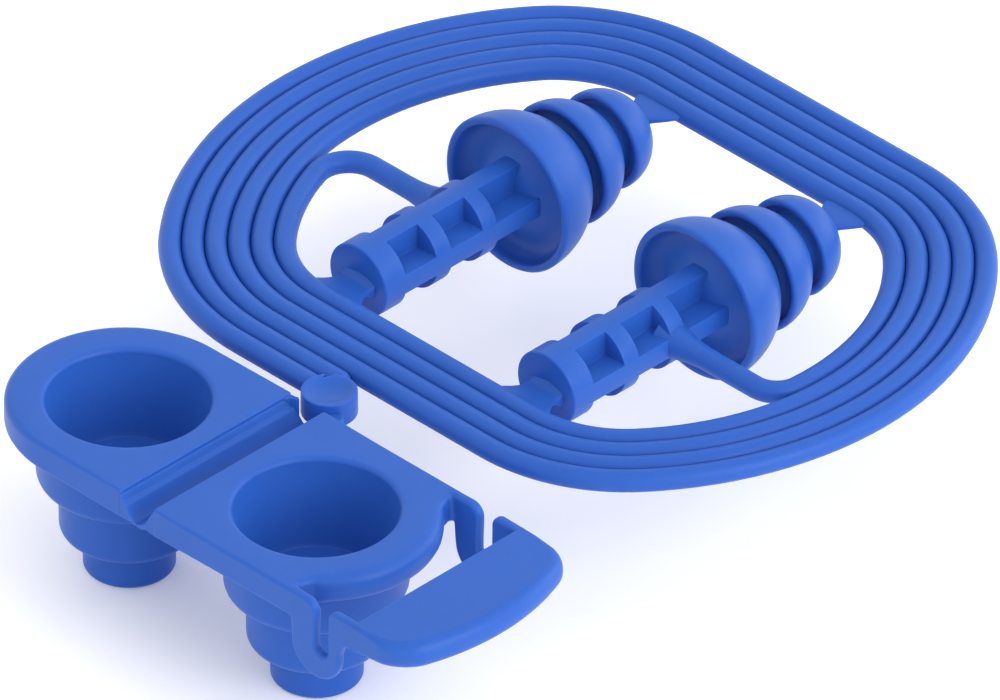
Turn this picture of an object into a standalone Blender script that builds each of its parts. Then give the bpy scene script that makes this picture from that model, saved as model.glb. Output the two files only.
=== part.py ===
"""Moulded corded ear plug set: two triple-flange ear plugs, two cords wound in one flat
double spiral, and a folding two-cup case with a strap latch.

Units: metres.  All dimensions below are in millimetres, in the moulding's own plan frame:
X runs along the case, Y along the plugs, and Z = 0 is the parting plane that holds the
cord centres, the plug axes and the middle of the plates.  place() moves a point of that
frame to the part's frame, whose origin is the bottom centre of everything but the cords.
"""

import math

import bmesh
import bpy
from mathutils import Matrix, Vector

MM = 0.001

# ---- case -------------------------------------------------------------------
CASE_Y = -30.0            # centre line of both cups
PLATE_HALF_WIDTH = 8.7
PLATE_TOP = 1.2
PLATE_BOTTOM = -1.2
LID_CUP_X = 43.15
BASE_CUP_X = 62.50
LID_END_X = 42.67         # centre of the lid plate's round end
BASE_END_X = 63.40        # centre of the base plate's round end
LID_HINGE_EDGE = 51.20
BASE_HINGE_EDGE = 54.50
CUP_TIERS = ((6.76, -5.3), (5.13, -10.4), (3.40, -13.6))   # outer radius, bottom
CUP_MOUTH_R = 6.14
CUP_LIP = 0.36            # rounding of the mouth
CUP_LEDGE = (4.30, -5.40) # radius and height of the ledge that the bowl runs down to
CUP_BORE_R = 2.55         # from the ledge down
CUP_FLOOR = 0.8
GAP = 0.3                 # kept between neighbouring pieces

# ---- living hinge -----------------------------------------------------------
FOLD_CLEARANCE = 0.25     # between the two plates when the case is shut
LID_AXIS_X = LID_HINGE_EDGE + 0.2
BASE_AXIS_X = BASE_HINGE_EDGE - 0.1
HINGE_Z = PLATE_TOP - (BASE_AXIS_X - LID_AXIS_X - FOLD_CLEARANCE) / 2

# ---- latch ------------------------------------------------------------------
STRAP_WIDTH = 0.8         # across the case
EAR_END_X = 68.5
LATCH_AXIS_X = 70.8
LATCH_AXIS_Z = 0.0
STRAP_START_X = 69.2
STRAP_BEND_R = 1.75
LEG_OUT_X = 68.85
LEG_IN_X = 70.95
U_IN_X = 72.55
U_OUT_X = 73.50
FLAP_INNER_X = 74.74
FLAP_OUTER_X = 81.50
FLAP_CORNER_R = 2.6
FLAP_BULGE_R = 20.0

# ---- cords ------------------------------------------------------------------
CORD_PITCH = 1.685        # also the cords' real diameter: the turns touch
CORD_TUBE_R = 0.75
CORNER_R = 9.6            # innermost corner, centre line
FAR_Y = 25.34             # innermost far straight run
NEAR_Y = -9.87            # innermost near straight run
LEFT_C = Vector((52.10, 7.57))     # centre of the left side arcs
LEFT_R = 23.26            # innermost left side arc of the far half
RIGHT_C = Vector((55.00, 7.90))
RIGHT_R = 20.62

# ---- plugs ------------------------------------------------------------------
PLUG_X = (43.42, 62.75)
GRIP_START, GRIP_END = -6.7, 10.1
GRIP_R = 2.95
RIB_WIDTH = 1.6
POCKETS = ((-4.6, -1.4), (0.1, 3.4), (4.85, 10.6))
CORE_R = 2.2
CORE_START, CORE_END = 10.4, 19.6
REAR_FLANGE = (6.25, 8.80, 6.20, 10.4)     # rim radius, rim Y, dome height, hollow floor Y
MIDDLE_FLANGE = (4.88, 14.40, 4.30, 16.6)
NOSE_FLANGE = (3.90, 18.60, 3.56, 19.9)
FLANGE_WALL = 0.7
LEAD_Y = (4.40, 4.30)
LEAD_BEND = (2.6, 2.2)

# ---- button -----------------------------------------------------------------
BUTTON = Vector((52.75, -18.9))
BUTTON_R = 2.1
BUTTON_TOP, BUTTON_BOTTOM = 1.05, -1.0

# ---- origin: bottom centre of everything but the cords -----------------------
TAB_END_Y = FAR_Y - CORD_TUBE_R - GAP
ORIGIN = Vector((
    (LID_END_X - PLATE_HALF_WIDTH + FLAP_OUTER_X) / 2,
    (CASE_Y - PLATE_HALF_WIDTH + TAB_END_Y) / 2,
    CUP_TIERS[2][1],
))


def place(x, y, z=0.0):
    """Plan frame, in millimetres, to the part's frame, in metres."""
    return (Vector((x, y, z)) - ORIGIN) * MM


# ---- scene ------------------------------------------------------------------
for old in list(bpy.data.objects):
    bpy.data.objects.remove(old, do_unlink=True)

parts = bpy.data.collections.new("corded_ear_plug_set")
cutters = bpy.data.collections.new("cutters")
bpy.context.scene.collection.children.link(parts)
bpy.context.scene.collection.children.link(cutters)

BLUE = (0.060, 0.160, 0.600)


def material(name, shade=1.0, roughness=0.5):
    mat = bpy.data.materials.new(name)
    mat.use_nodes = True
    bsdf = mat.node_tree.nodes["Principled BSDF"]
    bsdf.inputs["Base Color"].default_value = (BLUE[0] * shade, BLUE[1] * shade, BLUE[2] * shade, 1.0)
    bsdf.inputs["Roughness"].default_value = roughness
    bsdf.inputs["Metallic"].default_value = 0.0
    return mat


def pivot(name, location):
    empty = bpy.data.objects.new(name, None)
    empty.empty_display_size = 0.003
    empty.location = location
    parts.objects.link(empty)
    return empty


def ride(obj, parent):
    """Parents obj to the empty and leaves it where it is."""
    obj.parent = parent
    obj.matrix_parent_inverse = Matrix.Translation(parent.location).inverted()


def smooth(mesh, angle=35.0):
    mesh.shade_smooth()
    mesh.set_sharp_from_angle(angle=math.radians(angle))


def arc(cx, cy, radius, start, end, steps):
    """Points on an arc, angles in degrees."""
    return [
        (
            cx + radius * math.cos(math.radians(start + (end - start) * i / steps)),
            cy + radius * math.sin(math.radians(start + (end - start) * i / steps)),
        )
        for i in range(steps + 1)
    ]


def turned(name, profile, location, along_y, steps, parent, shade=1.0):
    """A turned piece: profile is (radius, height) from the top down its outer side, and
    back up its inner side when it is a ring."""
    mesh = bpy.data.meshes.new(name)
    bm = bmesh.new()
    points = [bm.verts.new((r * MM, 0.0, h * MM)) for r, h in profile]
    for first, second in zip(points, points[1:]):
        bm.edges.new((first, second))
    if profile[0][0] > 1e-6:
        bm.edges.new((points[-1], points[0]))
    bm.to_mesh(mesh)
    bm.free()
    obj = bpy.data.objects.new(name, mesh)
    obj.location = location
    if along_y:
        obj.rotation_euler = (-math.pi / 2, 0.0, 0.0)
    parts.objects.link(obj)
    screw = obj.modifiers.new("turn", "SCREW")
    screw.axis = "Z"
    screw.angle = 2 * math.pi
    screw.steps = steps
    screw.render_steps = steps
    screw.use_merge_vertices = True
    screw.merge_threshold = 1e-6
    screw.use_smooth_shade = True
    mesh.materials.append(material(name, shade))
    ride(obj, parent)
    return obj


def flat(name, loops, location, thickness, parent, upright=False, shade=1.0):
    """A flat outline with a thickness.  The first loop is the outline and the others are
    holes, in millimetres from location.  An upright one has its outline in X and Z."""
    curve = bpy.data.curves.new(name, "CURVE")
    curve.dimensions = "2D"
    curve.fill_mode = "BOTH"
    curve.extrude = thickness * MM / 2
    for loop in loops:
        spline = curve.splines.new("POLY")
        spline.points.add(len(loop) - 1)
        for point, (x, y) in zip(spline.points, loop):
            point.co = (x * MM, y * MM, 0.0, 1.0)
        spline.use_cyclic_u = True
    obj = bpy.data.objects.new(name, curve)
    obj.location = location
    if upright:
        obj.rotation_euler = (math.pi / 2, 0.0, 0.0)
    parts.objects.link(obj)
    curve.materials.append(material(name, shade))
    ride(obj, parent)
    return obj


def tube(name, points, radius, parent, shade=1.0):
    curve = bpy.data.curves.new(name, "CURVE")
    curve.dimensions = "3D"
    curve.bevel_depth = radius * MM
    curve.bevel_resolution = 2
    curve.use_fill_caps = True
    spline = curve.splines.new("POLY")
    spline.points.add(len(points) - 1)
    for point, (x, y) in zip(spline.points, points):
        point.co = (*place(x, y), 1.0)
    obj = bpy.data.objects.new(name, curve)
    parts.objects.link(obj)
    curve.materials.append(material(name, shade))
    ride(obj, parent)
    return obj


# ---- the bodies' pivots -----------------------------------------------------
base = pivot("case_base_pivot", place(BASE_CUP_X, CASE_Y, PLATE_BOTTOM))
web = pivot("hinge_web_pivot", place(BASE_AXIS_X, CASE_Y, HINGE_Z))
lid = pivot("case_lid_pivot", place(LID_AXIS_X, CASE_Y, HINGE_Z))
latch = pivot("latch_pivot", place(LATCH_AXIS_X, CASE_Y, LATCH_AXIS_Z))
plugs = [
    pivot("plug_a_pivot", place(PLUG_X[0], 0.0)),
    pivot("plug_b_pivot", place(PLUG_X[1], 0.0)),
]

# ---- plates -----------------------------------------------------------------
MID_Z = (PLATE_TOP + PLATE_BOTTOM) / 2
THICK = PLATE_TOP - PLATE_BOTTOM
HOLE_R = CUP_TIERS[0][0] + GAP


def hole(x):
    return arc(x, 0.0, HOLE_R, 0, 360 - 360 / 36, 35)


half = PLATE_HALF_WIDTH
inner = half - STRAP_WIDTH
reach = math.sqrt(half**2 - inner**2)
swing = math.degrees(math.asin(inner / half))
lid_outline = [(LID_HINGE_EDGE, -half), (LID_HINGE_EDGE, half)] + arc(LID_END_X, 0.0, half, 90, 270, 18)
base_outline = (
    [(BASE_HINGE_EDGE, half), (BASE_HINGE_EDGE, -half), (EAR_END_X, -half), (EAR_END_X, -inner)]
    + arc(BASE_END_X, 0.0, half, -swing, swing, 14)
    + [(EAR_END_X, inner), (EAR_END_X, half)]
)
flat("lid_plate", [lid_outline, hole(LID_CUP_X)], place(0, CASE_Y, MID_Z), THICK, lid)
flat("base_plate", [base_outline, hole(BASE_CUP_X)], place(0, CASE_Y, MID_Z), THICK, base)


# ---- cups -------------------------------------------------------------------
def cup(name, x, parent):
    """A stepped cup with a rolled mouth, open at the top."""
    (r1, z1), (r2, z2), (r3, z3) = CUP_TIERS
    outer = [
        (r1, PLATE_TOP), (r1, z1 + 0.6), (r1 - 0.6, z1), (r2, z1),
        (r2, z2 + 0.6), (r2 - 0.6, z2), (r3, z2), (r3, z3 + 0.8), (r3 - 0.8, z3), (0.0, z3),
    ]
    ledge_r, ledge_z = CUP_LEDGE
    floor_z = z3 + CUP_FLOOR
    bowl = []
    for i in range(5):
        t = i / 4
        bowl.append((
            ledge_r + (CUP_MOUTH_R - ledge_r) * t**0.8,
            ledge_z + (PLATE_TOP - CUP_LIP - ledge_z) * t,
        ))
    inside = [(0.0, floor_z), (CUP_BORE_R, floor_z), (CUP_BORE_R, ledge_z)] + bowl
    inside += [(CUP_MOUTH_R + CUP_LIP, PLATE_TOP)]
    # The profile runs from the centre of the inner floor up to the rim, and down outside.
    return turned(name, inside + outer, place(x, CASE_Y, 0.0), False, 32, parent, 0.96)


cup("lid_cup", LID_CUP_X, lid)
cup("base_cup", BASE_CUP_X, base)

# ---- living hinge web: a channel on top, ribs left below ---------------------
web_left, web_right = LID_HINGE_EDGE + GAP, BASE_HINGE_EDGE - GAP
channel_top = HINGE_Z - 0.08
span = web_right - web_left
web_outline = [(web_left, channel_top)]
web_outline += [
    (web_left + span * i / 8, channel_top - 0.35 * math.sin(math.pi * i / 8)) for i in range(1, 8)
]
web_outline += [(web_right, channel_top), (web_right, -1.05), (web_right - 0.5, -1.05), (web_right - 0.7, -1.35)]
web_outline += [(web_left + 0.7, -1.35), (web_left + 0.5, -1.05), (web_left, -1.05)]
flat("hinge_web", [web_outline], place(0, CASE_Y, 0.0), 2 * half, web, True, 0.95)

# ---- latch: two U straps and the flap ---------------------------------------
bottom_r = (U_OUT_X - LEG_OUT_X) / 2
inside_r = (U_IN_X - LEG_IN_X) / 2
strap = [(STRAP_START_X, PLATE_BOTTOM), (STRAP_START_X, PLATE_TOP)]
strap += arc(STRAP_START_X, PLATE_TOP - STRAP_BEND_R, STRAP_BEND_R, 90, 0, 5)[1:]
strap += arc(LEG_IN_X + inside_r, -2.45, inside_r, 180, 360, 6)
strap += arc(U_IN_X + 1.35, PLATE_TOP - 1.3, 1.3, 180, 90, 4)
strap += [(FLAP_INNER_X - GAP, PLATE_TOP), (FLAP_INNER_X - GAP, PLATE_BOTTOM), (U_OUT_X, PLATE_BOTTOM)]
strap += arc((LEG_OUT_X + U_OUT_X) / 2, -2.75, bottom_r, 0, -180, 8)
strap += [(LEG_OUT_X, PLATE_BOTTOM)]
flat("strap_front", [strap], place(0, CASE_Y - half + STRAP_WIDTH / 2, 0.0), STRAP_WIDTH, latch, True)
flat("strap_rear", [strap], place(0, CASE_Y + half - STRAP_WIDTH / 2, 0.0), STRAP_WIDTH, latch, True)

# The flap's outer edge is a shallow arc, and its corners are rounded where it meets the sides.
bulge_c = FLAP_OUTER_X - FLAP_BULGE_R
corner_y = half - FLAP_CORNER_R
corner_x = bulge_c + math.sqrt((FLAP_BULGE_R - FLAP_CORNER_R) ** 2 - corner_y**2)
lean = math.degrees(math.atan2(corner_y, corner_x - bulge_c))
flap = [(FLAP_INNER_X, half), (FLAP_INNER_X, -half)]
flap += arc(corner_x, -corner_y, FLAP_CORNER_R, -90, -lean, 5)
flap += arc(bulge_c, 0.0, FLAP_BULGE_R, -lean, lean, 8)[1:-1]
flap += arc(corner_x, corner_y, FLAP_CORNER_R, lean, 90, 5)
flat("latch_flap", [flap], place(0, CASE_Y, MID_Z), THICK, latch)


# ---- plugs ------------------------------------------------------------------
def flange(name, sizes, plug_x, parent, solid):
    """An umbrella of revolution about the plug's axis: domed outside, hollow behind."""
    rim_r, rim_y, height, floor_y = sizes
    bore = 0.0 if solid else CORE_R + GAP
    # Dome from its neck (or the nose's tip) down to the rim.
    top = math.acos(bore / rim_r)
    outer = []
    for i in range(10):
        a = top * (1 - i / 9)
        outer.append((rim_r * math.cos(a), rim_y + height * math.sin(a)))
    if solid:
        outer[0] = (0.0, rim_y + height)
    in_r, in_h = rim_r - FLANGE_WALL, height - FLANGE_WALL
    top_in = math.asin((floor_y - rim_y) / in_h)
    inside = []
    for i in range(5):
        a = top_in * i / 4
        inside.append((in_r * math.cos(a), rim_y + in_h * math.sin(a)))
    inside.append((bore, floor_y))
    return turned(name, outer + inside, place(plug_x, 0.0), True, 28, parent)


def quadrant_cutter(name, plug_x):
    """The twelve pockets between the grip's four ribs."""
    mesh = bpy.data.meshes.new(name)
    bm = bmesh.new()
    size = 4.0
    for y0, y1 in POCKETS[:2]:
        for sx in (-1, 1):
            for sz in (-1, 1):
                centre = Vector((sx * (RIB_WIDTH / 2 + size / 2), (y0 + y1) / 2, sz * (RIB_WIDTH / 2 + size / 2))) * MM
                scale = Vector((size, y1 - y0, size)) * MM
                bmesh.ops.create_cube(bm, size=1.0, matrix=Matrix.Translation(centre) @ Matrix.Diagonal((*scale, 1.0)))
    y0, y1 = POCKETS[2]
    for sx in (-1, 1):
        for sz in (-1, 1):
            centre = Vector((sx * (RIB_WIDTH / 2 + size / 2), (y0 + y1) / 2, sz * (RIB_WIDTH / 2 + size / 2))) * MM
            scale = Vector((size, y1 - y0, size)) * MM
            bmesh.ops.create_cube(bm, size=1.0, matrix=Matrix.Translation(centre) @ Matrix.Diagonal((*scale, 1.0)))
    bm.to_mesh(mesh)
    bm.free()
    obj = bpy.data.objects.new(name, mesh)
    obj.location = place(plug_x, 0.0)
    obj.hide_render = True
    obj.display_type = "WIRE"
    cutters.objects.link(obj)
    return obj


def grip(name, plug_x, parent):
    """A round grip cut to four ribs between full rings."""
    mesh = bpy.data.meshes.new(name)
    bm = bmesh.new()
    length = (GRIP_END - GRIP_START) * MM
    bmesh.ops.create_cone(
        bm, cap_ends=True, segments=32, radius1=GRIP_R * MM, radius2=GRIP_R * MM, depth=length,
        matrix=Matrix.Translation(Vector((0, (GRIP_START + GRIP_END) / 2 * MM, 0))) @ Matrix.Rotation(-math.pi / 2, 4, "X"),
    )
    bm.to_mesh(mesh)
    bm.free()
    smooth(mesh)
    obj = bpy.data.objects.new(name, mesh)
    obj.location = place(plug_x, 0.0)
    parts.objects.link(obj)
    cut = obj.modifiers.new("pockets", "BOOLEAN")
    cut.operation = "DIFFERENCE"
    cut.solver = "EXACT"
    cut.object = quadrant_cutter(name + "_pockets", plug_x)
    mesh.materials.append(material(name, 0.98))
    ride(obj, parent)
    return obj


for letter, plug_x, parent in zip("ab", PLUG_X, plugs):
    grip(f"plug_{letter}_grip", plug_x, parent)
    core = [
        (0.0, CORE_END), (CORE_R - 0.4, CORE_END), (CORE_R, CORE_END - 0.4),
        (CORE_R, CORE_START), (0.0, CORE_START),
    ]
    turned(f"plug_{letter}_core", core, place(plug_x, 0.0), True, 24, parent, 0.97)
    flange(f"plug_{letter}_rear_flange", REAR_FLANGE, plug_x, parent, False)
    flange(f"plug_{letter}_middle_flange", MIDDLE_FLANGE, plug_x, parent, False)
    flange(f"plug_{letter}_nose_flange", NOSE_FLANGE, plug_x, parent, True)
    # Tear-off tabs hold the plug between the innermost far and near runs of cord.
    tip = NOSE_FLANGE[1] + NOSE_FLANGE[2] + GAP
    tip_tab = [(-0.8, tip), (0.8, tip), (0.8, TAB_END_Y - 1.4), (2.2, TAB_END_Y), (-2.2, TAB_END_Y), (-0.8, TAB_END_Y - 1.4)]
    end = NEAR_Y + CORD_TUBE_R + GAP
    start = GRIP_START - GAP
    grip_tab = [(-1.65, start), (-1.65, end + 0.85), (-2.5, end), (2.5, end), (1.65, end + 0.85), (1.65, start)]
    flat(f"plug_{letter}_tip_tab", [tip_tab], place(plug_x, 0.0), 0.6, base)
    flat(f"plug_{letter}_grip_tab", [grip_tab], place(plug_x, 0.0), 0.6, base)

# ---- button and its neck ----------------------------------------------------
button = [
    (0.0, BUTTON_TOP - 0.45), (0.9, BUTTON_TOP - 0.38), (1.6, BUTTON_TOP - 0.12), (1.85, BUTTON_TOP),
    (BUTTON_R, BUTTON_TOP - 0.15), (BUTTON_R, BUTTON_BOTTOM + 0.3), (BUTTON_R - 0.3, BUTTON_BOTTOM), (0.0, BUTTON_BOTTOM),
]
turned("cord_button", button, place(BUTTON.x, BUTTON.y), False, 28, base)
neck_y = CASE_Y + half + GAP
neck = [(54.6, neck_y), (55.7, neck_y), (55.7, neck_y + 0.4), (55.2, neck_y + 0.8), (54.6, neck_y + 0.8)]
flat("button_neck", [neck], place(0, 0, 0), 1.2, base)


# ---- cords: two-centre double spiral ----------------------------------------
def corner_centre(side_c, side_r, y_run, sign_x, sign_y):
    """Centre of the corner arc that is tangent to a straight run and to a side arc."""
    cy = y_run - sign_y * CORNER_R
    dx = math.sqrt((side_r - CORNER_R) ** 2 - (cy - side_c.y) ** 2)
    return Vector((side_c.x + sign_x * dx, cy))


# A strand moves out by one pitch each half turn, so the near half's side arcs are one
# pitch smaller on the left, where a far run k becomes a near run k + 1, and one pitch
# larger on the right.
NEAR_LEFT_R = LEFT_R - CORD_PITCH
NEAR_RIGHT_R = RIGHT_R + CORD_PITCH
FAR_LEFT = corner_centre(LEFT_C, LEFT_R, FAR_Y, -1, 1)
FAR_RIGHT = corner_centre(RIGHT_C, RIGHT_R, FAR_Y, 1, 1)
NEAR_LEFT = corner_centre(LEFT_C, NEAR_LEFT_R, NEAR_Y, -1, -1)
NEAR_RIGHT = corner_centre(RIGHT_C, NEAR_RIGHT_R, NEAR_Y, 1, -1)


def heading(frm, to):
    return math.degrees(math.atan2(to.y - frm.y, to.x - frm.x)) % 360


FAR_RIGHT_A = heading(RIGHT_C, FAR_RIGHT)
FAR_LEFT_A = heading(LEFT_C, FAR_LEFT)
NEAR_LEFT_A = heading(LEFT_C, NEAR_LEFT)
NEAR_RIGHT_A = heading(RIGHT_C, NEAR_RIGHT)
STEP = 11.0


def sweep(centre, radius, start, end):
    steps = max(1, math.ceil(abs(end - start) / STEP))
    return arc(centre.x, centre.y, radius, start, end, steps)


def far_half(k, start=0.0):
    """Right side, far run and left side of the strand that is k pitches out."""
    out = k * CORD_PITCH
    points = sweep(RIGHT_C, RIGHT_R + out, start, FAR_RIGHT_A)
    points += sweep(FAR_RIGHT, CORNER_R + out, FAR_RIGHT_A, 90)[1:]
    points += sweep(FAR_LEFT, CORNER_R + out, 90, FAR_LEFT_A)
    points += sweep(LEFT_C, LEFT_R + out, FAR_LEFT_A, 180)[1:]
    return points


def near_half(k, start=180.0, end=360.0, stop_x=None):
    """Left side, near run and right side."""
    out = k * CORD_PITCH
    points = sweep(LEFT_C, NEAR_LEFT_R + out, start, NEAR_LEFT_A)
    points += sweep(NEAR_LEFT, CORNER_R + out, NEAR_LEFT_A, 270)[1:]
    if stop_x is not None:
        return points + [(stop_x, NEAR_Y - out)]
    points += sweep(NEAR_RIGHT, CORNER_R + out, 270, NEAR_RIGHT_A)
    points += sweep(RIGHT_C, NEAR_RIGHT_R + out, NEAR_RIGHT_A, end)[1:]
    return points


def join(*runs):
    """One list of points, with the repeated ones at the joins left out."""
    points = []
    for x, y in (point for run in runs for point in run):
        if not points or math.hypot(x - points[-1][0], y - points[-1][1]) > 0.05:
            points.append((x, y))
    return points


def lead(exit_x, y, bend, side_c, side_r, sign_x, sign_y):
    """Out of the grip along X, and round a bend into the innermost strand.  It returns
    the points and the angle, about side_c, where the bend joins that strand."""
    cy = y + sign_y * bend
    dx = math.sqrt((side_r - bend) ** 2 - (cy - side_c.y) ** 2)
    cx = side_c.x + sign_x * dx
    joins = heading(side_c, Vector((cx, cy)))
    start = 90 if sign_y < 0 else 270
    if sign_x < 0:
        points = arc(cx, cy, bend, start, joins, 7)
    else:
        points = arc(cx, cy, bend, start - 360, joins - 360 if joins > 180 else joins, 7)
    return [(exit_x, y)] + [(exit_x + (cx - exit_x) * i / 3, y) for i in (1, 2)] + points, joins


exit_gap = 0.25
lead_a, joins_a = lead(
    PLUG_X[0] - GRIP_R - exit_gap, LEAD_Y[0], LEAD_BEND[0], LEFT_C, NEAR_LEFT_R, -1, -1
)
lead_b, joins_b = lead(
    PLUG_X[1] + GRIP_R + exit_gap, LEAD_Y[1], LEAD_BEND[1], RIGHT_C, RIGHT_R, 1, 1
)
stop_a = BUTTON.x - math.sqrt(max(0.0, (BUTTON_R + GAP) ** 2 - (NEAR_Y - 4 * CORD_PITCH - CORD_TUBE_R - BUTTON.y) ** 2)) - 0.1
stop_b = BUTTON.x - BUTTON_R - GAP
cord_a = join(
    lead_a,
    near_half(0, joins_a), far_half(1), near_half(2), far_half(3), near_half(4, stop_x=stop_a),
)
cord_b = join(
    lead_b,
    far_half(0, joins_b - 360 if joins_b > 180 else joins_b),
    near_half(1), far_half(2), near_half(3), far_half(4), near_half(5, stop_x=stop_b),
)
tube("cord_a", cord_a, CORD_TUBE_R, base, 1.02)
tube("cord_b", cord_b, CORD_TUBE_R, base, 1.02)
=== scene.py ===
import math

import bmesh
import bpy
from mathutils import Matrix, Vector


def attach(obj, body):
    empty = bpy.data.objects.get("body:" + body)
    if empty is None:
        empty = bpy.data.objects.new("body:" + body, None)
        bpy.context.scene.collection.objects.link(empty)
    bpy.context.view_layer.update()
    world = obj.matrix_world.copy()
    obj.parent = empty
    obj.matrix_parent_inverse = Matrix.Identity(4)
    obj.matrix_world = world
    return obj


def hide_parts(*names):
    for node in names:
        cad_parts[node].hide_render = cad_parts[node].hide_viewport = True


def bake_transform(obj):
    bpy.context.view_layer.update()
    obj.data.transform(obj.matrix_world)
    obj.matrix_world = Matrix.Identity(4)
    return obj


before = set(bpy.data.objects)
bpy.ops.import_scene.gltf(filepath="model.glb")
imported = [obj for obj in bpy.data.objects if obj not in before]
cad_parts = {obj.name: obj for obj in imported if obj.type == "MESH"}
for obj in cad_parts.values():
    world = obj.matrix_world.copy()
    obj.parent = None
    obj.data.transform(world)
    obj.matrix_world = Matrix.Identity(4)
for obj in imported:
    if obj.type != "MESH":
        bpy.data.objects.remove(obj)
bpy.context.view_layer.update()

# Every dimension below is in millimetres, in the moulding's own plan frame, as in part.py:
# X along the case, Y along the plugs, Z = 0 at the cord centres and the plug axes.
MM = 0.001
ORIGIN = Vector((57.735, -7.205, -13.6))


def P(x, y, z=0.0):
    """Plan frame in millimetres to the row frame in metres."""
    return (Vector((x, y, z)) - ORIGIN) * MM


# ============================================================ camera, first of all
LENS, SENSOR = 1180.0, 36.0
AZIMUTH, ELEVATION = math.radians(44.9309), math.radians(35.2342)
target = P(79.4631, -28.1444, 22.5133)
toward = Vector((
    math.sin(AZIMUTH) * math.cos(ELEVATION), -math.cos(AZIMUTH) * math.cos(ELEVATION), math.sin(ELEVATION),
))
middle = P(56.90, -5.46, 0.0)
camera_data = bpy.data.cameras.new("camera")
camera_data.lens = LENS
camera_data.sensor_width = SENSOR
camera_data.clip_start = 0.1
camera_data.clip_end = 20.0
camera = bpy.data.objects.new("camera", camera_data)
camera.location = target + toward * (2343.487 * MM)
camera.rotation_euler = (-toward).to_track_quat("-Z", "Y").to_euler()
bpy.context.scene.collection.objects.link(camera)
bpy.context.scene.camera = camera

# ============================================================ dimensions
CASE_Y = -29.88
CUP_Y = -29.98
HALF = 8.7
TOP, BOTTOM = 1.2, -1.2
LID_CUP_X, BASE_CUP_X = 43.23, 62.58
LID_END_X, BASE_END_X = 42.67, 63.20
LID_EDGE, BASE_EDGE = 51.20, 54.50
LID_AXIS_X, BASE_AXIS_X = 51.40, 54.40
HINGE_Z = TOP - (BASE_AXIS_X - LID_AXIS_X - 0.25) / 2
TIERS = ((6.76, -5.7), (5.13, -10.4), (3.40, -13.6))
MOUTH_R = 6.04
LIP = 0.46
LEDGE_R, LEDGE_Z = 4.30, -5.40
BORE_R, BORE_FLOOR = 2.55, -12.8
STRAP = 0.80

CORD_PITCH = 1.685
CORD_R = 0.845
CORNER_R = 9.25
FAR_Y, NEAR_Y = 25.34, -9.87
LEFT_C, LEFT_R = Vector((52.10, 7.57)), 23.26
RIGHT_C, RIGHT_R = Vector((55.00, 7.90)), 20.62
PLUG_X = (43.42, 62.75)
GRIP_R = 2.95
LEAD_Y = (4.28, 4.22)
LEAD_BEND = (2.6, 2.2)
BUTTON = Vector((52.75, -18.9))
BUTTON_R = 2.1


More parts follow.
